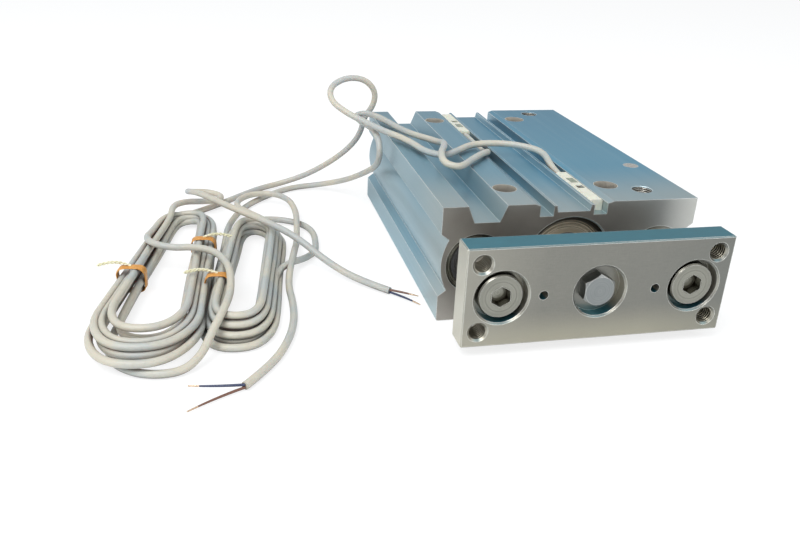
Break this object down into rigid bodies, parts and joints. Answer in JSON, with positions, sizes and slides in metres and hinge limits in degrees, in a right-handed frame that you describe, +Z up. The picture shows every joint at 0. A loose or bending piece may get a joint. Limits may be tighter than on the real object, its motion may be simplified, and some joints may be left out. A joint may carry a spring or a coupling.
{
  "type": "guided pneumatic cylinder",
  "caption": "Compact pneumatic cylinder with guide rods beside the piston rod, an end plate, mounting holes, T-slots and groove-mounted position switches with coiled leads.",
  "frame": {"origin": "centre of the four threaded mounting holes, on the underside", "axes": "+X across, +Y lengthwise from the end plate to the rear, +Z up from the underside"},
  "size_m": [0.269, 0.2471, 0.0789],
  "materials": {
    "anodised_body": "clear anodised, satin, drawn lines along the length",
    "plate_metal": "satin plated steel, fine ground",
    "guide_rod_steel": "hardened and ground",
    "piston_rod_chrome": "hard chromed, polished",
    "cover_metal": "turned, clear anodised",
    "piston_metal": "turned",
    "bolt_steel": "nickel plated",
    "spring_steel": "phosphated spring steel",
    "bush_metal": "bearing alloy",
    "seal_rubber": "black nitrile rubber",
    "bumper_rubber": "urethane",
    "magnet": "bonded magnet",
    "wear_band": "bearing resin",
    "switch_plastic": "moulded, cream",
    "switch_window": "clear moulded",
    "cable_jacket": "vinyl jacket, cream",
    "core_brown": "vinyl",
    "core_blue": "vinyl",
    "tie_plastic": "thin flat tie, orange-brown"
  },
  "bodies": {
    "housing": {"cylinder_body": "anodised_body", "head_cover": "cover_metal", "rear_cover": "cover_metal", "head_cover_oring": "seal_rubber", "rear_cover_oring": "seal_rubber", "rod_bush": "bush_metal", "rod_seal": "seal_rubber", "head_retaining_ring": "spring_steel", "rear_retaining_ring": "spring_steel", "passage_plug": "bolt_steel", "front_guide_bush_left": "bush_metal", "inner_guide_bush_left": "bush_metal", "guide_ring_left": "bolt_steel", "guide_wiper_left": "seal_rubber", "front_guide_bush_right": "bush_metal", "inner_guide_bush_right": "bush_metal", "guide_ring_right": "bolt_steel", "guide_wiper_right": "seal_rubber", "front_switch_case": "switch_plastic", "front_switch_window": "switch_window", "front_switch_screw": "bolt_steel", "front_lead": "cable_jacket", "front_lead_tail": "cable_jacket", "front_lead_coil": "cable_jacket", "front_lead_brown": "core_brown", "front_lead_blue": "core_blue", "rear_switch_case": "switch_plastic", "rear_switch_window": "switch_window", "rear_switch_screw": "bolt_steel", "rear_lead": "cable_jacket", "rear_lead_tail": "cable_jacket", "rear_lead_coil": "cable_jacket", "rear_lead_brown": "core_brown", "rear_lead_blue": "core_blue", "front_coil_tie_left": "tie_plastic", "front_coil_tie_right": "tie_plastic", "rear_coil_tie": "tie_plastic"},
    "carriage": {"end_plate": "plate_metal", "piston_rod": "piston_rod_chrome", "piston": "piston_metal", "piston_seal": "seal_rubber", "piston_magnet": "magnet", "piston_wear_ring": "wear_band", "front_bumper": "bumper_rubber", "rear_bumper": "bumper_rubber", "piston_bolt": "bolt_steel", "rod_bolt": "bolt_steel", "guide_rod_left": "guide_rod_steel", "guide_rod_right": "guide_rod_steel", "guide_bolt_left": "bolt_steel", "guide_bolt_right": "bolt_steel"}
  },
  "joints": [
    {"name": "plate_slide", "type": "slide", "parent": "housing", "child": "carriage", "axis": [0, -1, 0], "range_m": [-0.0115, 0.1135]}
  ]
}
